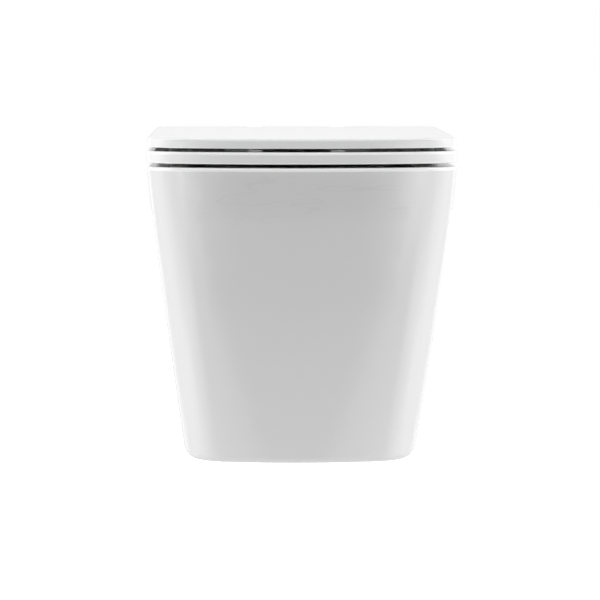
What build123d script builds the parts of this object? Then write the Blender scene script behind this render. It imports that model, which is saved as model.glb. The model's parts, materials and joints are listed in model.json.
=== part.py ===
from build123d import *
import os
from math import atan2, cos, sin, sqrt

# Wall hung toilet in millimetres
# X to the right as seen from the front, Y into the wall, Z up
# The origin is midway between the two wall studs, on the face of the wall

os.makedirs("parts", exist_ok=True)

# Levels and reach of the pan
rim_z = 80.0
base_z = -281.0
pan_depth = 520.0
pan_half = 180.2
pan_corner = 58.0
pan_bow = 520.0
bow_loss = 110.0
base_setback = 140.0
front_power = 1.8
side_lean = 0.119
lean_start = 15.0
rim_round = 4.0
base_round = 19.0
level_shares = (0, 0.045, 0.09, 0.165, 0.28, 0.415, 0.555, 0.69, 0.83, 0.93, 1)

# Walls of the hollow pan
side_wall = 11.0
deck_wall = 15.0
floor_wall = 11.0
back_wall = 15.0
bowl_wall = 10.5
trap_wall = 10.0

# Bowl from its mouth down: level, shift of the centre, share of the length, share of the width
bowl_front_deck = 42.0
bowl_side_deck = 43.2
bowl_rear_y = -150.0
bowl_shape = (
    (40, 0, 1, 1),
    (-20, 2, 0.915, 0.905),
    (-75, 11, 0.72, 0.708),
    (-125, 21, 0.463, 0.482),
    (-180, 29, 0.268, 0.307),
    (-232, 31, 0.232, 0.263),
)
bowl_mouth_round = 8.0

# Trap tube from the sump over the weir to the outlet
trap_z = -214.0
trap_foot_y = -205.0
trap_top_y = -137.0
trap_end_y = -40.0
trap_bend = 48.0
trap_radius = 32.0
outlet_z = -100.0
horn_radius = 51.0
horn_length = 48.0
horn_cone = 14.0
horn_mouth = 43.0
horn_back = 2.0
window_half = 75.0
window_low = -170.0
window_high = -32.0
window_corner = 20.0

# Flush water inlet and its slot into the bowl
inlet_z = 35.0
inlet_mouth = 28.1
inlet_taper = 0.02
inlet_depth = 45.0
inlet_wall = 10.0
slot_z = 43.0
slot_width = 80.0
slot_height = 24.0
slot_corner = 8.0
slot_reach = 18.0
recess_mouth = 35.1
recess_depth = 5.0
seal_bore = 22.5
seal_length = 26.0
fit_gap = 0.1

# Hidden wall fixing
stud_x = 90.0
stud_bore = 6.5
stud_depth = 36.0
block_side = 36.0
block_depth = 60.0
block_play = 1.0
screw_y = -45.0
screw_radius = 4.0
screw_tip_reach = 4.0
screw_seat_depth = 20.3
screw_head_radius = 6.5
screw_head_height = 5.0
washer_height = 3.0
boss_radius = 22.0
boss_depth = 32.3
access_radius = 6.0
head_bore = 10.0
cap_radius = 14.0
cap_depth = 6.8

# Seat and lid, with levels above the rim
seat_side_overhang = 1.0
seat_front_inset = 1.5
seat_corner = 60.0
seat_low = 4.0
seat_top = 17.9
seat_back = -102.0
seat_rear_corner = 26.0
seat_hole_shift = 9.0
seat_cover = 19.0
lid_side_inset = 0.8
lid_front_inset = 2.5
lid_low = 21.9
lid_top = 33.2
lid_back = -64.0
lid_rear_corner = 20.0
lid_plate = 5.0
lid_lip = 6.0
top_round = 3.5

# Hinges
hinge_x = 77.5
hinge_y = -78.0
hinge_rise = 24.5
deck_hole = 8.0
disc_radius = 22.0
disc_height = 5.0
neck_radius = 8.8
barrel_radius = 9.0
barrel_half = 15.0
knuckle_radius = 8.5
ear_length = 17.5
seat_ear_gap = 1.0
lid_ear_gap = 0.8
notch_front = -94.0
pillar_radius = 5.5
pillar_height = 7.0
bolt_radius = 3.0
bolt_tip_z = 42.0
grub_radius = 1.4
grub_z = 88.5
groove_depth = 0.8
groove_half = 1.5
plug_radius = 7.9
bulge_radius = 10.5
bulge_low = 50.0
nut_height = 5.0
nut_radius = 7.5
pin_radius = 3.5
running_gap = 0.05
pin_flat = 5.0
damper_radius = 6.4
damper_length = 21.3
damper_bore_depth = 22.0
key_width = 2.0
key_height = 1.0

# Pads under the seat and the lid, placed from the side and the front edge
seat_pad_front_inset = 38.2
seat_pad_front_reach = 88.5
seat_pad_rear_inset = 53.2
seat_pad_rear_y = -185.0
seat_pad_length = 22.0
seat_pad_width = 12.0
pad_gap = 0.2
pad_stem_radius = 3.0
pad_stem_length = 5.0
lid_pad_front_inset = 32.4
lid_pad_front_reach = 76.0
lid_pad_rear_inset = 50.4
lid_pad_rear_y = -196.0
lid_pad_radius = 7.0
lid_stem_length = 2.5

# Flush deflector in the bowl
deflector_half = 52.0
deflector_reach = 60.0
roof_overlap = 10.0
deflector_low = 27.0
deflector_height = 34.0
deflector_inner = 12.0
deflector_plate = 3.0
deflector_play = 0.2
tongue_half = 13.0
tongue_reach = 14.0

# Derived values
pan_height = rim_z - base_z
pan_levels = [rim_z - share * pan_height for share in level_shares]
mouth_length = (pan_depth - bowl_front_deck + bowl_rear_y) / 2
mouth_width = pan_half - bowl_side_deck
mouth_y = bowl_rear_y - mouth_length
bowl_sections = [
    (level, mouth_y + shift, mouth_length * length_share, mouth_width * width_share)
    for level, shift, length_share, width_share in bowl_shape
]
sump_y = bowl_sections[-1][1]
trap_route = ((sump_y - 2, trap_z), (trap_foot_y, trap_z), (trap_top_y, outlet_z), (trap_end_y, outlet_z))
inlet_end = inlet_mouth - inlet_taper * inlet_depth
slot_y = bowl_rear_y
seat_half = pan_half + seat_side_overhang
seat_front = -pan_depth + seat_front_inset
seat_hole_y = mouth_y + seat_hole_shift
seat_hole_half = mouth_width - seat_cover
seat_hole_length = mouth_length - seat_cover
lid_half = seat_half - lid_side_inset
lid_front = seat_front + lid_front_inset
seat_pad_front = (seat_half - seat_pad_front_inset, seat_front + seat_pad_front_reach)
seat_pad_rear = (seat_half - seat_pad_rear_inset, seat_pad_rear_y)
lid_pad_front = (lid_half - lid_pad_front_inset, lid_front + lid_pad_front_reach)
lid_pad_rear = (lid_half - lid_pad_rear_inset, lid_pad_rear_y)
seat_low_z = rim_z + seat_low
seat_top_z = rim_z + seat_top
lid_low_z = rim_z + lid_low
lid_top_z = rim_z + lid_top
lid_roof_z = lid_top_z - lid_plate
axis_z = rim_z + hinge_rise
disc_top_z = rim_z + disc_height
barrel_inner_x = hinge_x - barrel_half
barrel_outer_x = hinge_x + barrel_half
seat_ear_outer_x = barrel_inner_x - seat_ear_gap
seat_ear_inner_x = seat_ear_outer_x - ear_length
lid_ear_inner_x = barrel_outer_x + lid_ear_gap
lid_ear_outer_x = lid_ear_inner_x + ear_length
notch_inner_x = seat_ear_inner_x - 0.6


# How far the side of the pan leans inwards at a drop below the rim
def side_shift(drop):
    return side_lean * (sqrt(drop**2 + lean_start**2) - lean_start)


# Places along the side screw, measured inwards from the side of the pan
screw_side_x = pan_half - side_shift(rim_z)
cap_seat_x = screw_side_x - cap_depth
screw_seat_x = screw_side_x - screw_seat_depth
boss_inner_x = screw_side_x - boss_depth
screw_tip_x = stud_x + screw_tip_reach


# Closed outline seen from above: bowed front, round front corners, straight sides
def plan_face(level, half_width, front, back, corner, bow, rear_corner=0.0):
    corner_x = half_width - corner
    bow_y = front + bow
    corner_y = bow_y - sqrt((bow - corner) ** 2 - corner_x**2)
    swing = atan2(corner_y - bow_y, corner_x)
    touch_x = corner_x + corner * cos(swing)
    touch_y = corner_y + corner * sin(swing)
    middle_x = corner_x + corner * cos(swing / 2)
    middle_y = corner_y + corner * sin(swing / 2)
    with BuildSketch(Plane.XY.offset(level)) as face:
        with BuildLine():
            ThreePointArc((-touch_x, touch_y), (0, front), (touch_x, touch_y))
            ThreePointArc((touch_x, touch_y), (middle_x, middle_y), (half_width, corner_y))
            Line((half_width, corner_y), (half_width, back))
            Line((half_width, back), (-half_width, back))
            Line((-half_width, back), (-half_width, corner_y))
            ThreePointArc((-half_width, corner_y), (-middle_x, middle_y), (-touch_x, touch_y))
        make_face()
        if rear_corner > 0:
            fillet(face.vertices().group_by(Axis.Y)[-1], rear_corner)
    return face.sketch


# One level of the pan, moved inwards by the inset
def pan_face(level, inset, back):
    drop = rim_z - level
    share = drop / pan_height
    front = -pan_depth + base_setback * share**front_power
    return plan_face(
        level,
        pan_half - side_shift(drop) - inset,
        front + inset,
        back,
        pan_corner - inset,
        pan_bow - bow_loss * share - inset,
    )


# Bowl shape, moved outwards by the wall
def bowl_solid(wall, top):
    with BuildPart() as solid:
        low_level = bowl_sections[-1][0] - wall
        levels = [(top, *bowl_sections[0][1:])] + list(bowl_sections)
        for level, centre, half_length, half_width in levels:
            at_level = low_level if level == bowl_sections[-1][0] else level
            with BuildSketch(Plane.XY.offset(at_level)):
                with Locations((0, centre)):
                    Ellipse(half_width + wall, half_length + wall)
        loft()
    return solid.part


# Tube along the trap, with a round end in the sump
def trap_solid(radius):
    with BuildPart() as solid:
        with BuildLine(Plane.YZ) as route:
            FilletPolyline(*trap_route, radius=trap_bend)
        start = route.line @ 0
        with BuildSketch(Plane(origin=start, x_dir=(1, 0, 0), z_dir=route.line % 0)):
            Circle(radius)
        sweep()
        with Locations(start):
            Sphere(radius)
    return solid.part


# Duct from the round inlet to the slot in the bowl
def duct_solid(wall):
    with BuildPart() as solid:
        with BuildSketch(Plane.XZ.offset(inlet_depth)):
            with Locations((0, inlet_z)):
                Circle(inlet_end + wall)
        with BuildSketch(Plane.XZ.offset(-slot_y)):
            with Locations((0, slot_z)):
                RectangleRounded(slot_width + 2 * wall, slot_height + 2 * wall, slot_corner + wall)
        loft()
        with BuildSketch(Plane.XZ.offset(-slot_y)):
            with Locations((0, slot_z)):
                RectangleRounded(slot_width + 2 * wall, slot_height + 2 * wall, slot_corner + wall)
        extrude(amount=slot_reach)
    return solid.part


# Tapered way in for the seal, with a wider recess at the wall face
def inlet_solid(depth, gap):
    with BuildPart() as solid:
        with BuildSketch(Plane.YZ):
            with BuildLine():
                Polyline(
                    (0, inlet_z),
                    (0, inlet_z + recess_mouth - gap),
                    (-recess_depth, inlet_z + recess_mouth - inlet_taper * recess_depth - gap),
                    (-recess_depth, inlet_z + inlet_mouth - inlet_taper * recess_depth - gap),
                    (-depth, inlet_z + inlet_mouth - inlet_taper * depth - gap),
                    (-depth, inlet_z),
                    close=True,
                )
            make_face()
        revolve(axis=Axis((0, 0, inlet_z), (0, 1, 0)))
    return solid.part


# Outlet horn: cone out of the trap tube, then a straight spigot
def horn_solid():
    with BuildPart() as solid:
        with BuildSketch(Plane.YZ):
            with BuildLine():
                Polyline(
                    (-horn_length - horn_cone, outlet_z),
                    (-horn_length - horn_cone, outlet_z + trap_radius + trap_wall),
                    (-horn_length, outlet_z + horn_radius),
                    (-horn_back, outlet_z + horn_radius),
                    (-horn_back, outlet_z),
                    close=True,
                )
            make_face()
        revolve(axis=Axis((0, 0, outlet_z), (0, 1, 0)))
    return solid.part


# Water way through the horn
def horn_bore():
    with BuildPart() as solid:
        with BuildSketch(Plane.YZ):
            with BuildLine():
                Polyline(
                    (-horn_length - horn_cone, outlet_z),
                    (-horn_length - horn_cone, outlet_z + trap_radius),
                    (-horn_length, outlet_z + trap_radius),
                    (-horn_back, outlet_z + horn_mouth),
                    (0, outlet_z + horn_mouth),
                    (0, outlet_z),
                    close=True,
                )
            make_face()
        revolve(axis=Axis((0, 0, outlet_z), (0, 1, 0)))
    return solid.part


# Cylinder along X between two x values
def bar_x(start_x, end_x, y, z, radius):
    with BuildPart() as solid:
        with BuildSketch(Plane.YZ.offset(start_x)):
            with Locations((y, z)):
                Circle(radius)
        extrude(amount=end_x - start_x)
    return solid.part


# Outer form of the pan
with BuildPart() as pan_form:
    for level in pan_levels:
        add(pan_face(level, 0, 0))
    loft()
    rim_edges = pan_form.faces().sort_by(Axis.Z)[-1].edges()
    fillet(rim_edges.filter_by(lambda edge: edge.center().Y < -5), rim_round)
    base_edges = pan_form.faces().sort_by(Axis.Z)[0].edges()
    fillet(base_edges.filter_by(lambda edge: edge.center().Y < -5), base_round)

# Hollow inside of the pan, before the bowl and the pipes are put back
with BuildPart() as hollow_form:
    hollow_levels = [rim_z - deck_wall] + list(pan_levels[2:-1]) + [base_z + floor_wall]
    for level in hollow_levels:
        add(pan_face(level, side_wall, -back_wall))
    loft()

# Bowl, trap, duct and screw bosses as they stand in the hollow
with BuildPart() as inner_form:
    add(bowl_solid(bowl_wall, rim_z - 1))
    add(trap_solid(trap_radius + trap_wall))
    add(horn_solid())
    add(duct_solid(inlet_wall))
    with BuildSketch(Plane.XZ):
        with Locations((0, inlet_z)):
            Circle(inlet_end + inlet_wall)
    extrude(amount=inlet_depth)
    for side in (-1, 1):
        add(bar_x(side * boss_inner_x, side * (cap_seat_x + 1), screw_y, 0, boss_radius))

# The glazed pan
with BuildPart() as pan:
    add(pan_form.part)
    add(hollow_form.part, mode=Mode.SUBTRACT)
    with BuildSketch(Plane.XZ):
        window_height = window_high - window_low
        with Locations((0, (window_high + window_low) / 2)):
            RectangleRounded(2 * window_half, window_height, window_corner)
    extrude(amount=back_wall, mode=Mode.SUBTRACT)
    add(inner_form.part)
    add(bowl_solid(0, rim_z + 5), mode=Mode.SUBTRACT)
    add(trap_solid(trap_radius), mode=Mode.SUBTRACT)
    add(horn_bore(), mode=Mode.SUBTRACT)
    add(duct_solid(0), mode=Mode.SUBTRACT)
    add(inlet_solid(inlet_depth, 0), mode=Mode.SUBTRACT)
    with BuildSketch(Plane.XZ):
        with Locations((-stud_x, 0), (stud_x, 0)):
            RectangleRounded(block_side + 2 * block_play, block_side + 2 * block_play, 4)
    extrude(amount=back_wall, mode=Mode.SUBTRACT)
    for side in (-1, 1):
        add(bar_x(side * (boss_inner_x - 5), side * pan_half, screw_y, 0, access_radius), mode=Mode.SUBTRACT)
        add(bar_x(side * screw_seat_x, side * pan_half, screw_y, 0, head_bore), mode=Mode.SUBTRACT)
        add(bar_x(side * cap_seat_x, side * pan_half, screw_y, 0, cap_radius), mode=Mode.SUBTRACT)
    with BuildSketch(Plane.XY.offset(rim_z)):
        with Locations((-hinge_x, hinge_y), (hinge_x, hinge_y)):
            Circle(deck_hole)
    extrude(amount=-deck_wall - 1, mode=Mode.SUBTRACT)
    rim_face = pan.faces().filter_by(Plane.XY).sort_by(Axis.Z)[-1]
    mouth_edges = rim_face.edges().filter_by(lambda edge: edge.is_closed and edge.length > 300)
    fillet(mouth_edges, bowl_mouth_round)
pan.part.label = "pan"

# Flush deflector: curved plate and roof in front of the slot, with a tongue into it
with BuildPart() as flush_deflector:
    _, mouth_y, mouth_length, mouth_width = bowl_sections[0]
    outer_inset = deflector_inner - deflector_plate
    with BuildSketch(Plane.XY.offset(deflector_low)):
        with Locations((0, mouth_y)):
            Ellipse(mouth_width - outer_inset, mouth_length - outer_inset)
            Ellipse(mouth_width - deflector_inner, mouth_length - deflector_inner, mode=Mode.SUBTRACT)
        with Locations((0, slot_y - deflector_reach / 2)):
            Rectangle(2 * deflector_half, deflector_reach, mode=Mode.INTERSECT)
    extrude(amount=deflector_height)
    with BuildSketch(Plane.XY.offset(deflector_low + deflector_height - deflector_plate)):
        with Locations((0, mouth_y)):
            Ellipse(mouth_width + 4, mouth_length + 4)
            Ellipse(mouth_width - deflector_inner, mouth_length - deflector_inner, mode=Mode.SUBTRACT)
        with Locations((0, slot_y + roof_overlap - deflector_reach / 2)):
            Rectangle(2 * deflector_half, deflector_reach, mode=Mode.INTERSECT)
    extrude(amount=deflector_plate)
    add(bowl_solid(-deflector_play, rim_z), mode=Mode.INTERSECT)
    with BuildSketch(Plane.XZ.offset(-slot_y - tongue_reach)):
        with Locations((0, slot_z)):
            RectangleRounded(2 * tongue_half, slot_height - 2 * deflector_play, 3)
    extrude(amount=tongue_reach + outer_inset + 1)
flush_deflector.part.label = "flush_deflector"

# Rubber seal for the flush pipe
with BuildPart() as inlet_seal:
    add(inlet_solid(seal_length, fit_gap))
    with BuildSketch(Plane.XZ):
        with Locations((0, inlet_z)):
            Circle(seal_bore)
    extrude(amount=seal_length, mode=Mode.SUBTRACT)
    seal_rims = inlet_seal.edges().filter_by(GeomType.CIRCLE).group_by(Axis.Y)[-1]
    chamfer(seal_rims.sort_by(SortBy.RADIUS)[0], 2)
inlet_seal.part.label = "inlet_seal"

# Block on the right stud
with BuildPart() as fixing_block_right:
    with BuildSketch(Plane.XZ):
        with Locations((stud_x, 0)):
            RectangleRounded(block_side, block_side, 3)
    extrude(amount=block_depth)
    with BuildSketch(Plane.XZ):
        with Locations((stud_x, 0)):
            Circle(stud_bore)
    extrude(amount=stud_depth, mode=Mode.SUBTRACT)
    add(
        bar_x(screw_tip_x - 1, stud_x + block_side, screw_y, 0, screw_radius),
        mode=Mode.SUBTRACT,
    )
fixing_block_right.part.label = "fixing_block_right"

# Side screw with a hexagon socket
with BuildPart() as fixing_screw_right:
    head_start = screw_seat_x + washer_height
    head_end = head_start + screw_head_height
    add(bar_x(screw_tip_x, head_start, screw_y, 0, screw_radius))
    add(bar_x(head_start, head_end, screw_y, 0, screw_head_radius))
    with BuildSketch(Plane.YZ.offset(head_end)):
        with Locations((screw_y, 0)):
            RegularPolygon(3, 6, major_radius=False)
    extrude(amount=-3, mode=Mode.SUBTRACT)
fixing_screw_right.part.label = "fixing_screw_right"

# Washer under the side screw
with BuildPart() as fixing_washer_right:
    add(bar_x(screw_seat_x, head_start, screw_y, 0, head_bore - fit_gap))
    add(
        bar_x(screw_seat_x, head_start, screw_y, 0, screw_radius + fit_gap),
        mode=Mode.SUBTRACT,
    )
fixing_washer_right.part.label = "fixing_washer_right"

# Cap over the side screw, its face follows the side of the pan
with BuildPart() as side_cap_right:
    add(bar_x(cap_seat_x, pan_half, screw_y, 0, cap_radius - fit_gap))
    add(pan_form.part, mode=Mode.INTERSECT)
    add(bar_x(head_end + 0.5, cap_seat_x, screw_y, 0, head_bore - fit_gap))
    add(bar_x(head_end + 0.5, cap_seat_x, screw_y, 0, head_bore - 2), mode=Mode.SUBTRACT)
side_cap_right.part.label = "side_cap_right"

# Disc of the hinge on the deck
with BuildPart() as hinge_base_right:
    with BuildSketch(Plane.XY.offset(rim_z)):
        with Locations((hinge_x, hinge_y)):
            Circle(disc_radius)
            Circle(bolt_radius + fit_gap, mode=Mode.SUBTRACT)
    extrude(amount=disc_height)
    disc_rims = hinge_base_right.edges().filter_by(GeomType.CIRCLE).group_by(Axis.Z)[-1]
    fillet(disc_rims.sort_by(SortBy.RADIUS)[-1], 1.5)
hinge_base_right.part.label = "hinge_base_right"

# Pillar bolt: clamps the disc and carries the hinge body
with BuildPart() as hinge_bolt_right:
    with BuildSketch(Plane.XY.offset(disc_top_z)):
        with Locations((hinge_x, hinge_y)):
            Circle(pillar_radius)
    extrude(amount=pillar_height)
    with BuildSketch(Plane.XY.offset(disc_top_z)):
        with Locations((hinge_x, hinge_y)):
            Circle(bolt_radius)
    extrude(amount=bolt_tip_z - disc_top_z)
    with BuildSketch(Plane.XY.offset(grub_z - groove_half)):
        with Locations((hinge_x, hinge_y)):
            Circle(pillar_radius + 1)
            Circle(pillar_radius - groove_depth, mode=Mode.SUBTRACT)
    extrude(amount=2 * groove_half, mode=Mode.SUBTRACT)
    with BuildSketch(Plane.XY.offset(disc_top_z + pillar_height)):
        with Locations((hinge_x, hinge_y)):
            RegularPolygon(2.5, 6, major_radius=False)
    extrude(amount=-3.5, mode=Mode.SUBTRACT)
hinge_bolt_right.part.label = "hinge_bolt_right"

# Rubber plug that swells under the deck
with BuildPart() as expansion_plug_right:
    deck_low_z = rim_z - deck_wall
    with BuildSketch(Plane.XY.offset(rim_z - 0.2)):
        with Locations((hinge_x, hinge_y)):
            Circle(plug_radius)
    extrude(amount=bulge_low - rim_z + 0.2)
    with BuildSketch(Plane.XY.offset(deck_low_z - 0.2)):
        with Locations((hinge_x, hinge_y)):
            Circle(bulge_radius)
    extrude(amount=bulge_low - deck_low_z + 0.2)
    with BuildSketch(Plane.XY.offset(rim_z)):
        with Locations((hinge_x, hinge_y)):
            Circle(bolt_radius + fit_gap)
    extrude(amount=bulge_low - rim_z, mode=Mode.SUBTRACT)
    bulge_edges = expansion_plug_right.edges().filter_by(GeomType.CIRCLE)
    fillet(bulge_edges.filter_by(lambda edge: edge.radius > plug_radius + 1), 2)
expansion_plug_right.part.label = "expansion_plug_right"

# Nut under the plug
with BuildPart() as plug_nut_right:
    with BuildSketch(Plane.XY.offset(bulge_low)):
        with Locations((hinge_x, hinge_y)):
            RegularPolygon(nut_radius, 6)
            Circle(bolt_radius + 0.02, mode=Mode.SUBTRACT)
    extrude(amount=-nut_height)
plug_nut_right.part.label = "plug_nut_right"


# Hinge body: neck and barrel, bored for a damper from one side and a pin from the other
def hinge_body_solid(damper_side):
    with BuildPart() as solid:
        with BuildSketch(Plane.XY.offset(disc_top_z)):
            with Locations((hinge_x, hinge_y)):
                Circle(neck_radius)
        extrude(amount=axis_z - disc_top_z)
        add(bar_x(barrel_inner_x, barrel_outer_x, hinge_y, axis_z, barrel_radius))
        barrel_rims = solid.edges().filter_by(GeomType.CIRCLE).filter_by(
            lambda edge: abs(abs(edge.center().X - hinge_x) - barrel_half) < 0.01
        )
        chamfer(barrel_rims, 0.8)
        with BuildSketch(Plane.XY.offset(disc_top_z)):
            with Locations((hinge_x, hinge_y)):
                Circle(pillar_radius + running_gap)
        extrude(amount=pillar_height + 0.3, mode=Mode.SUBTRACT)
        add(
            bar_x(barrel_inner_x, barrel_outer_x, hinge_y, axis_z, pin_radius + running_gap),
            mode=Mode.SUBTRACT,
        )
        open_x = hinge_x + damper_side * barrel_half
        blind_x = open_x - damper_side * damper_bore_depth
        add(
            bar_x(open_x, blind_x, hinge_y, axis_z, damper_radius + running_gap),
            mode=Mode.SUBTRACT,
        )
        with Locations(((open_x + blind_x) / 2, hinge_y, axis_z + damper_radius)):
            Box(
                damper_bore_depth,
                key_width + 2 * running_gap,
                2 * (key_height + running_gap),
                mode=Mode.SUBTRACT,
            )
        with BuildSketch(Plane.XZ.offset(-hinge_y)):
            with Locations((hinge_x, grub_z)):
                Circle(grub_radius)
        extrude(amount=neck_radius + 1, mode=Mode.SUBTRACT)
    return solid.part


# Damper housing with its key and the bore for its shaft
def damper_solid(damper_side):
    open_x = hinge_x + damper_side * (barrel_half - 0.2)
    blind_x = open_x - damper_side * damper_length
    bore_x = open_x - damper_side * 14.5
    with BuildPart() as solid:
        add(bar_x(open_x, blind_x, hinge_y, axis_z, damper_radius))
        with Locations(((open_x + blind_x) / 2, hinge_y, axis_z + damper_radius)):
            Box(damper_length, key_width, 2 * key_height)
        add(
            bar_x(open_x, bore_x, hinge_y, axis_z, pin_radius + running_gap),
            mode=Mode.SUBTRACT,
        )
    return solid.part


# Round pin with a double flat where it is keyed into an ear
def keyed_pin(plain_x, flat_x, tip_x):
    with BuildPart() as solid:
        add(bar_x(plain_x, tip_x, hinge_y, axis_z, pin_radius))
        for side in (-1, 1):
            offset = side * (pin_flat + pin_radius) / 2
            with Locations(((flat_x + tip_x) / 2, hinge_y, axis_z + offset)):
                Box(abs(tip_x - flat_x), 2 * pin_radius, pin_radius, mode=Mode.SUBTRACT)
    return solid.part


# Hole of an ear for a keyed pin
def keyed_hole(start_x, end_x):
    with BuildPart() as solid:
        add(bar_x(start_x, end_x, hinge_y, axis_z, pin_radius))
        with Locations(((start_x + end_x) / 2, hinge_y, axis_z)):
            Box(abs(end_x - start_x), 2 * pin_radius, pin_flat, mode=Mode.INTERSECT)
    return solid.part


with BuildPart() as hinge_body_right:
    add(hinge_body_solid(1))
hinge_body_right.part.label = "hinge_body_right"

with BuildPart() as hinge_body_left:
    mirror(hinge_body_solid(-1), about=Plane.YZ)
hinge_body_left.part.label = "hinge_body_left"

with BuildPart() as lid_damper:
    add(damper_solid(1))
lid_damper.part.label = "lid_damper"

with BuildPart() as seat_damper:
    mirror(damper_solid(-1), about=Plane.YZ)
seat_damper.part.label = "seat_damper"

# Screw that locks the hinge body on the pillar bolt
with BuildPart() as grub_screw_right:
    with BuildSketch(Plane.XZ.offset(-hinge_y + pillar_radius - groove_depth + 0.1)):
        with Locations((hinge_x, grub_z)):
            Circle(grub_radius)
    extrude(amount=neck_radius - pillar_radius + groove_depth - 0.4)
grub_screw_right.part.label = "grub_screw_right"

# Ear depths for the pins, measured from the face beside the barrel
ear_hole_depth = 14.5
ear_flat_depth = 1.0

with BuildPart() as seat_damper_shaft:
    add(
        keyed_pin(
            -(barrel_inner_x + 14.3),
            -(seat_ear_outer_x - ear_flat_depth),
            -(seat_ear_outer_x - ear_hole_depth),
        )
    )
seat_damper_shaft.part.label = "seat_damper_shaft"

with BuildPart() as seat_pin:
    add(
        keyed_pin(
            barrel_inner_x + 7.5,
            seat_ear_outer_x - ear_flat_depth,
            seat_ear_outer_x - ear_hole_depth,
        )
    )
seat_pin.part.label = "seat_pin"

with BuildPart() as lid_damper_shaft:
    add(
        keyed_pin(
            barrel_outer_x - 14.3,
            lid_ear_inner_x + ear_flat_depth,
            lid_ear_inner_x + ear_hole_depth,
        )
    )
lid_damper_shaft.part.label = "lid_damper_shaft"

with BuildPart() as lid_pin:
    add(
        keyed_pin(
            -(barrel_outer_x - 7.5),
            -(lid_ear_inner_x + ear_flat_depth),
            -(lid_ear_inner_x + ear_hole_depth),
        )
    )
lid_pin.part.label = "lid_pin"

# Seat ring with its two ears
with BuildPart() as seat_ring:
    add(
        plan_face(
            seat_low_z,
            seat_half,
            seat_front,
            seat_back,
            seat_corner,
            pan_bow,
            seat_rear_corner,
        )
    )
    extrude(amount=seat_top_z - seat_low_z)
    with BuildSketch(Plane.XY.offset(seat_low_z)):
        with Locations((0, seat_hole_y)):
            Ellipse(seat_hole_half, seat_hole_length)
    extrude(amount=seat_top_z - seat_low_z, mode=Mode.SUBTRACT)
    top_edges = seat_ring.edges().group_by(Axis.Z)[-1]
    hole_top = top_edges.filter_by(GeomType.ELLIPSE)
    fillet(top_edges.filter_by(lambda edge: edge.geom_type != GeomType.ELLIPSE), top_round)
    fillet(seat_ring.edges().filter_by(GeomType.ELLIPSE).group_by(Axis.Z)[-1], 6)
    fillet(seat_ring.edges().group_by(Axis.Z)[0], 1.5)
    for ear_start in (seat_ear_inner_x, -seat_ear_outer_x):
        with BuildSketch(Plane.YZ.offset(ear_start)):
            with Locations((hinge_y, axis_z)):
                Circle(knuckle_radius)
            with Locations((seat_back - 5, (seat_low_z + seat_top_z) / 2)):
                Rectangle(8, seat_top - seat_low - 2)
            make_hull()
        extrude(amount=ear_length)
    for side in (-1, 1):
        start_x = side * seat_ear_outer_x
        add(keyed_hole(start_x, start_x - side * (ear_hole_depth + 0.1)), mode=Mode.SUBTRACT)
        add(
            bar_x(start_x, start_x - side * ear_flat_depth, hinge_y, axis_z, pin_radius),
            mode=Mode.SUBTRACT,
        )
    with BuildSketch(Plane.XY.offset(seat_low_z)):
        for pad_x, pad_y in (seat_pad_front, seat_pad_rear):
            with Locations((-pad_x, pad_y), (pad_x, pad_y)):
                Circle(pad_stem_radius)
    extrude(amount=pad_stem_length, mode=Mode.SUBTRACT)
seat_ring.part.label = "seat_ring"

# Lid: plate with a lip all round, notches and ears for the hinges
with BuildPart() as lid:
    add(
        plan_face(
            lid_low_z,
            lid_half,
            lid_front,
            lid_back,
            seat_corner,
            pan_bow,
            lid_rear_corner,
        )
    )
    extrude(amount=lid_top_z - lid_low_z)
    fillet(lid.edges().group_by(Axis.Z)[-1], top_round)
    fillet(lid.edges().group_by(Axis.Z)[0], 1)
    add(
        plan_face(
            lid_low_z,
            lid_half - lid_lip,
            lid_front + lid_lip,
            lid_back - lid_lip,
            seat_corner - lid_lip,
            pan_bow - lid_lip,
            lid_rear_corner - lid_lip,
        )
    )
    extrude(amount=lid_roof_z - lid_low_z, mode=Mode.SUBTRACT)
    notch_width = lid_ear_inner_x - notch_inner_x
    notch_length = lid_back - notch_front + 1
    for side in (-1, 1):
        notch_x = side * (notch_inner_x + lid_ear_inner_x) / 2
        with Locations((notch_x, notch_front + notch_length / 2, (lid_low_z + lid_top_z) / 2)):
            Box(notch_width, notch_length, lid_top_z - lid_low_z + 1, mode=Mode.SUBTRACT)
    for ear_start in (lid_ear_inner_x, -lid_ear_outer_x):
        with BuildSketch(Plane.YZ.offset(ear_start)):
            with Locations((hinge_y, axis_z)):
                Circle(knuckle_radius)
            with Locations((hinge_y - 14, lid_top_z - 3)):
                Rectangle(36, 5)
            make_hull()
        extrude(amount=ear_length)
    for side in (-1, 1):
        start_x = side * lid_ear_inner_x
        add(keyed_hole(start_x, start_x + side * (ear_hole_depth + 0.1)), mode=Mode.SUBTRACT)
        add(
            bar_x(start_x, start_x + side * ear_flat_depth, hinge_y, axis_z, pin_radius),
            mode=Mode.SUBTRACT,
        )
    with BuildSketch(Plane.XY.offset(lid_roof_z)):
        for pad_x, pad_y in (lid_pad_front, lid_pad_rear):
            with Locations((-pad_x, pad_y), (pad_x, pad_y)):
                Circle(pad_stem_radius)
    extrude(amount=lid_stem_length, mode=Mode.SUBTRACT)
lid.part.label = "lid"


# Pad under the seat, stopping just above the rim
def seat_pad(pad_x, pad_y):
    with BuildPart() as solid:
        with BuildSketch(Plane.XY.offset(rim_z + pad_gap)):
            with Locations((pad_x, pad_y)):
                SlotOverall(seat_pad_length, seat_pad_width)
        extrude(amount=seat_low - pad_gap)
        fillet(solid.edges().group_by(Axis.Z)[0], 1.5)
        with BuildSketch(Plane.XY.offset(seat_low_z)):
            with Locations((pad_x, pad_y)):
                Circle(pad_stem_radius)
        extrude(amount=pad_stem_length)
    return solid.part


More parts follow.
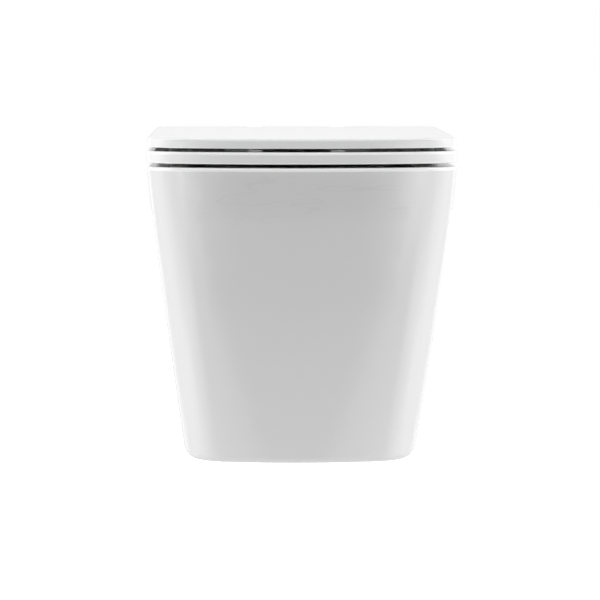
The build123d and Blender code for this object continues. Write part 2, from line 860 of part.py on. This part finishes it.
# Pad under the lid, stopping just above the seat
def lid_pad(pad_x, pad_y):
    with BuildPart() as solid:
        with BuildSketch(Plane.XY.offset(seat_top_z + pad_gap)):
            with Locations((pad_x, pad_y)):
                Circle(lid_pad_radius)
        extrude(amount=lid_roof_z - seat_top_z - pad_gap)
        fillet(solid.edges().group_by(Axis.Z)[0], 1.5)
        with BuildSketch(Plane.XY.offset(lid_roof_z)):
            with Locations((pad_x, pad_y)):
                Circle(pad_stem_radius)
        extrude(amount=lid_stem_length)
    return solid.part


pads = {
    "seat_buffer_front": seat_pad(*seat_pad_front),
    "seat_buffer_rear": seat_pad(*seat_pad_rear),
    "lid_buffer_front": lid_pad(*lid_pad_front),
    "lid_buffer_rear": lid_pad(*lid_pad_rear),
}
for name, solid in pads.items():
    with BuildPart() as right_pad:
        add(solid)
    right_pad.part.label = name + "_right"
    export_step(right_pad.part, "parts/" + right_pad.part.label + ".step")
    with BuildPart() as left_pad:
        mirror(solid, about=Plane.YZ)
    left_pad.part.label = name + "_left"
    export_step(left_pad.part, "parts/" + left_pad.part.label + ".step")

# Pieces that come as a mirrored pair
for right_piece in (
    fixing_block_right,
    fixing_screw_right,
    fixing_washer_right,
    side_cap_right,
    hinge_base_right,
    hinge_bolt_right,
    expansion_plug_right,
    plug_nut_right,
    grub_screw_right,
):
    label = right_piece.part.label
    export_step(right_piece.part, "parts/" + label + ".step")
    with BuildPart() as left_piece:
        mirror(right_piece.part, about=Plane.YZ)
    left_piece.part.label = label.replace("_right", "_left")
    export_step(left_piece.part, "parts/" + left_piece.part.label + ".step")

# Pieces that exist once
for piece in (
    pan,
    flush_deflector,
    inlet_seal,
    hinge_body_left,
    hinge_body_right,
    seat_damper,
    lid_damper,
    seat_damper_shaft,
    seat_pin,
    lid_damper_shaft,
    lid_pin,
    seat_ring,
    lid,
):
    export_step(piece.part, "parts/" + piece.part.label + ".step")
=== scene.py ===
import bmesh
import bpy
import json
import math
import numpy as np
from mathutils import Vector, Matrix


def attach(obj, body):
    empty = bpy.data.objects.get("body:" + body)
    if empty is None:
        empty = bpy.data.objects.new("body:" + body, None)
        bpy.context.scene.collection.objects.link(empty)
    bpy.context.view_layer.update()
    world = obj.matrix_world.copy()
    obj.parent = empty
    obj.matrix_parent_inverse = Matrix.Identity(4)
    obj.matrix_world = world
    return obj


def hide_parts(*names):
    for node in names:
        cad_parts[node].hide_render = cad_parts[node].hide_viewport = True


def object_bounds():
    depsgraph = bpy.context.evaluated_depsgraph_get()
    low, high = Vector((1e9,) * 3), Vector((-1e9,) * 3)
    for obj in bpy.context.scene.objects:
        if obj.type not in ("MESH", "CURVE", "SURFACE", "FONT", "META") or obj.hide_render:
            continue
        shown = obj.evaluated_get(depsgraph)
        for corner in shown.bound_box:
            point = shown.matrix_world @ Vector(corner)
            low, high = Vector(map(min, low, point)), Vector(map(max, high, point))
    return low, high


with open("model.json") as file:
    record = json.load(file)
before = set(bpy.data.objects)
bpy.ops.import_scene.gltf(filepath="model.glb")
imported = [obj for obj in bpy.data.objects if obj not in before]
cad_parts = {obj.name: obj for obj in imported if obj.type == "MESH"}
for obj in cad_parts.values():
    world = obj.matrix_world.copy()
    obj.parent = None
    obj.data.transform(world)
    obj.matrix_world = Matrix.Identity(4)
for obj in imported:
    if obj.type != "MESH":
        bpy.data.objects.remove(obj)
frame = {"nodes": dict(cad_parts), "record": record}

cadBox = [list(corner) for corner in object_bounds()]
nodes = frame["nodes"]
scene = bpy.context.scene


class Wire:
    # wraps an output socket, so that sums on it add Math nodes to the tree
    def __init__(self, tree, socket):
        self.tree, self.socket = tree, socket

    def math(self, operation, *values):
        made = self.tree.nodes.new("ShaderNodeMath")
        made.operation = operation
        for place, value in zip(made.inputs, values):
            if isinstance(value, Wire):
                self.tree.links.new(value.socket, place)
            else:
                place.default_value = value
        return Wire(self.tree, made.outputs[0])

    def __add__(self, other): return self.math("ADD", self, other)
    def __radd__(self, other): return self.math("ADD", other, self)
    def __sub__(self, other): return self.math("SUBTRACT", self, other)
    def __rsub__(self, other): return self.math("SUBTRACT", other, self)
    def __mul__(self, other): return self.math("MULTIPLY", self, other)
    def __rmul__(self, other): return self.math("MULTIPLY", other, self)
    def __truediv__(self, other): return self.math("DIVIDE", self, other)
    def __pow__(self, other): return self.math("POWER", self, other)
    def __gt__(self, other): return self.math("GREATER_THAN", self, other)
    def __lt__(self, other): return self.math("LESS_THAN", self, other)

    def clamped(self):
        return self.math("MAXIMUM", self.math("MINIMUM", self, 1.0), 0.0)


class Finish:
    # one material and its node tree
    def __init__(self, name, material=None):
        self.material = material or bpy.data.materials.new(name)
        self.material.use_nodes = True
        self.tree = self.material.node_tree
        self.tree.nodes.clear()

    def node(self, kind, settings=None, inputs=None):
        # makes any node: settings first, then the values or links of its sockets
        made = self.tree.nodes.new(kind)
        for key, value in (settings or {}).items():
            if key == "stops":
                ramp = made.color_ramp.elements
                while len(ramp) < len(value):
                    ramp.new(0.5)
                for stop, (place, colour) in zip(ramp, value):
                    stop.position, stop.color = place, colour
            else:
                setattr(made, key, value)
        for key, value in (inputs or {}).items():
            if isinstance(value, Wire):
                self.tree.links.new(value.socket, made.inputs[key])
            else:
                made.inputs[key].default_value = value
        return made

    def out(self, made, name=0):
        return Wire(self.tree, made.outputs[name])

    def objectSpot(self):
        return self.out(self.node("ShaderNodeTexCoord"), "Object")

    def axes(self, spot):
        split = self.node("ShaderNodeSeparateXYZ", inputs={"Vector": spot})
        return [self.out(split, name) for name in "XYZ"]

    def noise(self, spot, scale, detail=2.0, roughness=0.5, name="Fac"):
        made = self.node("ShaderNodeTexNoise", inputs={
            "Vector": spot, "Scale": scale, "Detail": detail, "Roughness": roughness})
        return self.out(made, name)

    def stretched(self, spot, scale):
        made = self.node("ShaderNodeMapping", inputs={"Vector": spot, "Scale": scale})
        return self.out(made, "Vector")

    def blendColour(self, amount, low, high):
        made = self.node("ShaderNodeMix", {"data_type": "RGBA"}, {0: amount, 6: low, 7: high})
        return self.out(made, 2)

    def bump(self, height, strength, distance, before=None):
        inputs = {"Height": height, "Strength": strength, "Distance": distance}
        if before is not None:
            inputs["Normal"] = before
        return self.out(self.node("ShaderNodeBump", inputs=inputs), "Normal")

    def ramp(self, value, low, high):
        # rises smoothly from 0 at the low end to 1 at the high end
        made = self.node("ShaderNodeMapRange", {"interpolation_type": "SMOOTHSTEP"}, {
            "Value": value, "From Min": low, "From Max": high})
        return self.out(made, "Result")

    def band(self, value, low, high, soft):
        # 1 between the two levels, with soft ends
        return self.ramp(value, low - soft, low + soft) * (1 - self.ramp(value, high - soft, high + soft))

    def facing(self):
        # the surface's own upward share, which stays with the piece when it swings
        return self.axes(self.out(self.node("ShaderNodeTexCoord"), "Normal"))[2]

    def directSight(self):
        # 1 where the camera looks straight, or through glass, at the surface
        path = self.node("ShaderNodeLightPath")
        return self.out(path, "Is Camera Ray").math(
            "MAXIMUM", self.out(path, "Is Camera Ray"), self.out(path, "Is Transmission Ray"))

    def surface(self, inputs):
        shader = self.node("ShaderNodeBsdfPrincipled", inputs=inputs)
        self.node("ShaderNodeOutputMaterial", inputs={"Surface": self.out(shader)})
        return self.material


glazeLook = {
    "white": (0.75, 0.75, 0.75, 1),
    "thin": (0.73, 0.73, 0.728, 1),
    "ground": (0.70, 0.68, 0.64, 1),
    # painted highlight: a near-white colour for a band round the top of the rim
    "rim": (0.97, 0.97, 0.97, 1),
    "rimBand": (0.0755, 0.0815),
    # painted shade: a darker colour for a field high on the front, standing in for a dark reflection
    "shade": (0.71, 0.71, 0.71, 1),
    "shadeBand": (0.025, 0.074),
    "shadeHalf": 0.115,
    # painted reflection: grey for thin wavy lines inside the painted shade field
    "line": (0.665, 0.665, 0.665, 1),
    "roughness": 0.07,
    "waveSize": 0.060,
    "waveDepth": 0.00003,
    "peelSize": 0.0045,
    "peelDepth": 0.0000022,
}


def glazeFinish():
    # white vitreous glaze: long soft waves, fine orange peel, and a ground edge where it meets the wall; also
    # painted shade with painted reflection lines high on the front, and a painted highlight round the rim
    look = glazeLook
    paint = Finish("glazedCeramic")
    spot = paint.objectSpot()
    x, y, z = paint.axes(spot)
    clouds = paint.noise(spot, 9.0, 3.0)
    grain = paint.noise(spot, 900.0, 2.0)
    ground = y > -0.0004
    colour = paint.blendColour((clouds - 0.35) * 0.6, look["white"], look["thin"])
    # painted shade: a darker field high on the front of the pan, between two heights and narrower than the pan
    upper = paint.band(z, *look["shadeBand"], 0.016) * (y < -0.3)
    upper = upper * (1 - paint.ramp(x.math("ABSOLUTE", x), look["shadeHalf"] - 0.03, look["shadeHalf"] + 0.03))
    colour = paint.blendColour(upper * 0.8, colour, look["shade"])
    # painted reflection: thin grey wavy lines inside the painted shade field
    drift = paint.noise(paint.stretched(spot, (0.4, 0.4, 2.6)), 15.0, 2.0, 0.5)
    lines = paint.band(drift, 0.492, 0.508, 0.006)  # thin wavy lines where the soft noise crosses its middle
    colour = paint.blendColour(lines * upper * 0.55, colour, look["line"])
    colour = paint.blendColour(ground * (0.8 + grain * 0.2), colour, look["ground"])
    # painted highlight: the band of heights at the top of the rim is painted near white
    colour = paint.blendColour(paint.band(z, *look["rimBand"], 0.0006), colour, look["rim"])
    rough = look["roughness"] + (clouds - 0.5) * 0.03 + ground * 0.5
    waves = paint.bump(paint.noise(spot, 1 / look["waveSize"], 1.0), 1.0, look["waveDepth"])
    peel = paint.bump(paint.noise(spot, 1 / look["peelSize"], 2.0), 1.0, look["peelDepth"], waves)
    return paint.surface({
        "Base Color": colour, "Roughness": rough, "IOR": 1.52, "Normal": peel,
        "Coat Weight": 1 - ground, "Coat Roughness": 0.02})


plasticLook = {
    "white": (0.84, 0.842, 0.842, 1),
    "flow": (0.82, 0.822, 0.82, 1),
    # painted highlight: near white for bands along the lid's and seat's edges
    "edge": (0.97, 0.97, 0.97, 1),
    "edgeBands": ((0.0838, 0.0855), (0.0944, 0.0981), (0.1016, 0.1030)),
    # painted shade: a darker colour for surfaces facing down
    "under": (0.66, 0.66, 0.66, 1),
    "roughness": 0.13,
    "rippleSize": 0.040,
    "rippleDepth": 0.000012,
}


def plasticFinish():
    # polished white thermoset: faint flow marks and a very fine polish grain, with painted highlight bands
    # along the edges and painted shade on the undersides
    look = plasticLook
    paint = Finish("polishedThermoset")
    spot = paint.objectSpot()
    flow = paint.noise(paint.stretched(spot, (1.0, 0.35, 1.0)), 16.0, 4.0, 0.6)
    grain = paint.noise(spot, 1400.0, 1.0)
    colour = paint.blendColour((flow - 0.4) * 0.9, look["white"], look["flow"])
    z = paint.axes(spot)[2]
    # painted highlight: bands of heights along the moulded edges are painted near white
    for low, high in look["edgeBands"]:
        colour = paint.blendColour(paint.band(z, low, high, 0.0003), colour, look["edge"])
    # painted shade: surfaces facing down are painted darker, and also made rougher
    under = paint.ramp(paint.facing(), -0.6, -0.9)
    colour = paint.blendColour(under, colour, look["under"])
    rough = look["roughness"] + (flow - 0.5) * 0.05 + (grain - 0.5) * 0.04 + under * 0.25
    ripple = paint.bump(paint.noise(spot, 1 / look["rippleSize"], 1.0), 1.0, look["rippleDepth"])
    return paint.surface({
        "Base Color": colour, "Roughness": rough, "IOR": 1.5, "Normal": ripple,
        "Coat Weight": 0.7, "Coat Roughness": 0.04})


def padFinish():
    # soft off-white pad with a fine matt skin
    paint = Finish("softPad")
    spot = paint.objectSpot()
    grain = paint.noise(spot, 1800.0, 3.0)
    colour = paint.blendColour(grain, (0.74, 0.74, 0.72, 1), (0.80, 0.80, 0.785, 1))
    skin = paint.bump(grain, 0.6, 0.00004)
    return paint.surface({
        "Base Color": colour, "Roughness": 0.55 + grain * 0.15, "Normal": skin,
        "Subsurface Weight": 0.08, "Subsurface Scale": 0.002})


def chromeFinish():
    # polished chrome with hairline polish marks and a few dull patches
    paint = Finish("polishedChrome")
    spot = paint.objectSpot()
    hairs = paint.noise(paint.stretched(spot, (60.0, 1400.0, 1400.0)), 1.0, 4.0, 0.7)
    patches = paint.noise(spot, 70.0, 3.0)
    colour = paint.blendColour(patches, (0.76, 0.765, 0.78, 1), (0.82, 0.82, 0.825, 1))
    rough = 0.05 + patches * 0.06 + hairs * 0.05
    marks = paint.bump(hairs, 0.25, 0.000004)
    return paint.surface({
        "Base Color": colour, "Metallic": 1.0, "Roughness": rough, "Normal": marks})


def steelFinish():
    # turned steel: rings round each axis and a dull, slightly uneven sheen
    paint = Finish("turnedSteel")
    spot = paint.objectSpot()
    rings = paint.noise(paint.stretched(spot, (2600.0, 300.0, 2600.0)), 1.0, 2.0, 0.6)
    patches = paint.noise(spot, 160.0, 3.0)
    colour = paint.blendColour(patches, (0.50, 0.50, 0.505, 1), (0.64, 0.64, 0.64, 1))
    marks = paint.bump(rings, 0.4, 0.00001)
    return paint.surface({
        "Base Color": colour, "Metallic": 1.0, "Roughness": 0.24 + rings * 0.14, "Normal": marks})


def rubberFinish():
    # black rubber with a fine grain and a dusty bloom
    paint = Finish("blackRubber")
    spot = paint.objectSpot()
    bloom = paint.noise(spot, 90.0, 4.0, 0.65)
    grain = paint.noise(spot, 1500.0, 2.0)
    colour = paint.blendColour(bloom, (0.028, 0.028, 0.029, 1), (0.062, 0.061, 0.06, 1))
    skin = paint.bump(grain, 0.7, 0.00005)
    return paint.surface({
        "Base Color": colour, "Roughness": 0.62 + bloom * 0.2, "Normal": skin})


def greyPlasticFinish():
    # grey glass filled plastic with a spark eroded texture
    paint = Finish("greyMoulding")
    spot = paint.objectSpot()
    grain = paint.noise(spot, 1100.0, 3.0, 0.7)
    flow = paint.noise(spot, 45.0, 2.0)
    colour = paint.blendColour(flow, (0.235, 0.24, 0.245, 1), (0.30, 0.305, 0.31, 1))
    skin = paint.bump(grain, 0.5, 0.00006)
    return paint.surface({
        "Base Color": colour, "Roughness": 0.42 + grain * 0.16, "Normal": skin})


finishes = {
    "glaze": glazeFinish(),
    "white_plastic": plasticFinish(),
    "pad": padFinish(),
    "chrome": chromeFinish(),
    "steel": steelFinish(),
    "rubber": rubberFinish(),
    "grey_plastic": greyPlasticFinish(),
}
slotOf = {entry["node"]: entry["material_slot"] for entry in frame["record"]["subparts"]}
for name, obj in nodes.items():
    obj.data.materials.clear()
    obj.data.materials.append(finishes[slotOf[name]])
print("finishes made:", len(finishes))


def weightNormals(piece):
    # large faces keep their own normal, so that the rounded edges beside them don't bend it
    weighting = piece.modifiers.new("weighting", "WEIGHTED_NORMAL")
    weighting.mode, weighting.keep_sharp = "FACE_AREA_WITH_ANGLE", True
    shown = piece.evaluated_get(bpy.context.evaluated_depsgraph_get())
    mesh = bpy.data.meshes.new_from_object(shown)
    piece.modifiers.clear()
    piece.data = mesh


def keepFlat(mesh, square=0.99999):
    # faces square to an axis keep their own normal, so that the rounded edges beside them don't bend it
    faces, corners = np.empty(len(mesh.polygons) * 3), np.empty(len(mesh.loops) * 3)
    sides = np.empty(len(mesh.polygons), int)
    mesh.polygons.foreach_get("normal", faces)
    mesh.polygons.foreach_get("loop_total", sides)
    mesh.corner_normals.foreach_get("vector", corners)
    own = np.repeat(faces.reshape(-1, 3), sides, axis=0)
    normals = np.where(np.abs(own).max(axis=1, keepdims=True) > square, own, corners.reshape(-1, 3))
    mesh.normals_split_custom_set(normals.tolist())


def smoothCopy(name, body, angle=35):
    # the CAD mesh with its loose triangles merged, so that round faces shade round
    shape = bmesh.new()
    shape.from_mesh(nodes[name].data)
    bmesh.ops.remove_doubles(shape, verts=shape.verts, dist=0.000002)
    mesh = bpy.data.meshes.new(name + "_smooth")
    shape.to_mesh(mesh)
    shape.free()
    mesh.polygons.foreach_set("use_smooth", np.ones(len(mesh.polygons), bool))
    mesh.set_sharp_from_angle(angle=math.radians(angle))
    mesh.materials.append(finishes[slotOf[name]])
    piece = bpy.data.objects.new(name + "_smooth", mesh)
    scene.collection.objects.link(piece)
    weightNormals(piece)
    if slotOf[name] in ("glaze", "white_plastic", "grey_plastic"):
        keepFlat(piece.data)
    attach(piece, body)
    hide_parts(name)
    return piece


stageLook = {
    "floorDrop": 0.56,
    "floorReach": 14.0,
    "floorColour": (0.86, 0.86, 0.86, 1),
    "floorGlow": 0.6,
}
lightLook = {
    "turns": (0, 18, 26, 34, 60, 95, 130, 150, 166, 180),
    "heights": (-90, -40, -8, 3, 30, 60, 90),
    "levels": {
        -90: (0.36, 0.36, 0.36, 0.36, 0.36, 0.36, 0.36, 0.36, 0.36, 0.36),
        -40: (0.00, 0.00, 0.04, 0.93, 1.78, 2.04, 1.15, 0.90, 0.78, 0.66),
        -8: (0.00, 0.00, 0.63, 2.52, 1.60, 1.58, 0.85, 1.20, 0.80, 0.38),
        3: (0.00, 0.00, 0.45, 1.79, 1.14, 1.83, 0.86, 1.10, 0.86, 0.92),
        30: (0.00, 0.00, 0.00, 0.00, 0.00, 2.44, 0.90, 0.85, 0.90, 1.20),
        60: (1.50, 1.50, 1.50, 1.50, 1.50, 2.75, 1.25, 0.85, 0.70, 0.54),
        90: (0.74, 0.74, 0.74, 0.74, 0.74, 0.74, 0.74, 0.74, 0.74, 0.74),
    },
    "brightest": 4.0,
}


def makeFloor():
    # a wide disc far below the toilet: it shows white, keeps the shadow and lets the cove's light through
    look = stageLook
    turns = np.linspace(0, 2 * np.pi, 97)[:-1]
    ring = np.stack([np.cos(turns), np.sin(turns), np.zeros(96)], 1) * look["floorReach"]
    ring[:, 2] = cadBox[0][2] - look["floorDrop"]
    mesh = bpy.data.meshes.new("studioFloor")
    mesh.from_pydata([tuple(p) for p in ring], [], [tuple(range(96))])
    floor = bpy.data.objects.new("studioFloor", mesh)
    scene.collection.objects.link(floor)
    paint = Finish("floorPaint")
    matt = paint.node("ShaderNodeBsdfDiffuse", inputs={"Color": look["floorColour"]})
    glow = paint.node("ShaderNodeEmission", inputs={"Color": (1, 1, 1, 1), "Strength": look["floorGlow"]})
    both = paint.node("ShaderNodeAddShader", inputs={0: paint.out(matt), 1: paint.out(glow)})
    clear = paint.node("ShaderNodeBsdfTransparent")
    shown = paint.node("ShaderNodeMixShader", inputs={
        0: paint.directSight(), 1: paint.out(clear), 2: paint.out(both)})
    paint.node("ShaderNodeOutputMaterial", inputs={"Surface": paint.out(shown)})
    mesh.materials.append(paint.material)


def makeWorld():
    # a studio cove, dim behind the camera, with a bright soft box on each side: its light is looked
    # up by the turn away from the camera, on either side alike, and blended by the height
    look = lightLook
    world = bpy.data.worlds.new("studioCove")
    scene.world = world
    paint = Finish("studioCove", world)
    x, y, z = paint.axes(paint.out(paint.node("ShaderNodeTexCoord"), "Generated"))
    turn = x.math("ARCTAN2", x.math("ABSOLUTE", x), y * -1.0) / math.pi
    height = z.math("ARCSINE", z) * (180 / math.pi)
    level, below = None, None
    for rise in look["heights"]:
        stops = [(at / 180, (value / look["brightest"],) * 3 + (1,))
                 for at, value in zip(look["turns"], look["levels"][rise])]
        band = paint.out(paint.node("ShaderNodeValToRGB", {"stops": stops}, {"Fac": turn}))
        if level is None:
            level = band
        else:
            share = ((height - below) / (rise - below)).clamped()
            level = paint.blendColour(share, level, band)
        below = rise
    seen = paint.directSight()
    glow = paint.node("ShaderNodeBackground", inputs={
        "Color": (1, 1, 1, 1), "Strength": level * look["brightest"] * (1 - seen) + seen})
    paint.node("ShaderNodeOutputWorld", inputs={"Surface": paint.out(glow)})


flagLook = {
    "halfWidth": 0.179,
    "rear": -0.0645,
    "front": -0.105,
    "low": 0.0805,
    "high": 0.1016,
    "stepHalf": 0.112,
    "middleHigh": 0.1072,
}


def makeFlag():
    # a black card, unseen by the camera, that keeps light from shining forward past the hinges:
    # a flat strip folded round the rear corners of the deck, higher in the middle
    look = flagLook
    half, rear, front = look["halfWidth"], look["rear"], look["front"]
    step = look["stepHalf"]
    path = np.array([
        (-half, front), (-half, rear), (-step, rear), (-step, rear), (step, rear), (step, rear), (half, rear),
        (half, front)])
    low = np.c_[path, np.full(8, look["low"])]
    high = np.c_[path, np.full(8, look["high"])]
    high[3:5, 2] = look["middleHigh"]
    faces = [(i, i + 1, i + 9, i + 8) for i in (0, 1, 3, 5, 6)]
    mesh = bpy.data.meshes.new("blackCard")
    mesh.from_pydata(np.r_[low, high].tolist(), [], faces)
    card = bpy.data.objects.new("blackCard", mesh)
    scene.collection.objects.link(card)
    card.visible_camera = False
    paint = Finish("blackCard")
    matt = paint.node("ShaderNodeBsdfDiffuse", inputs={"Color": (0.01, 0.01, 0.01, 1)})
    paint.node("ShaderNodeOutputMaterial", inputs={"Surface": paint.out(matt)})
    mesh.materials.append(paint.material)


cameraLook = {
    "spot": (-0.0678, -3.934, 0.238),
    "pitch": 5.17,
    "turn": -1.078,
    "lens": 179.58,
}


def makeCamera():
    # a long lens a little above the lid, as in the photograph
    look = cameraLook
    data = bpy.data.cameras.new("photoCamera")
    data.lens, data.sensor_width = look["lens"], 36.0
    data.clip_start, data.clip_end = 0.05, 100.0
    camera = bpy.data.objects.new("photoCamera", data)
    scene.collection.objects.link(camera)
    pitch, turn = math.radians(look["pitch"]), math.radians(look["turn"])
    camera.location = look["spot"]
    forward = Vector((-math.sin(turn) * math.cos(pitch), math.cos(turn) * math.cos(pitch), -math.sin(pitch)))
    camera.rotation_mode = "QUATERNION"
    camera.rotation_quaternion = forward.to_track_quat("-Z", "Y")
    scene.camera = camera


bodyOf = {name: body for body, names in frame["record"]["behaviour"]["bodies"].items() for name in names}
for name in nodes:
    smoothCopy(name, bodyOf[name])
print("smooth copies made")

makeFloor()
makeWorld()
makeFlag()
makeCamera()
scene.view_settings.view_transform = "Standard"
print("stage, light and camera made")
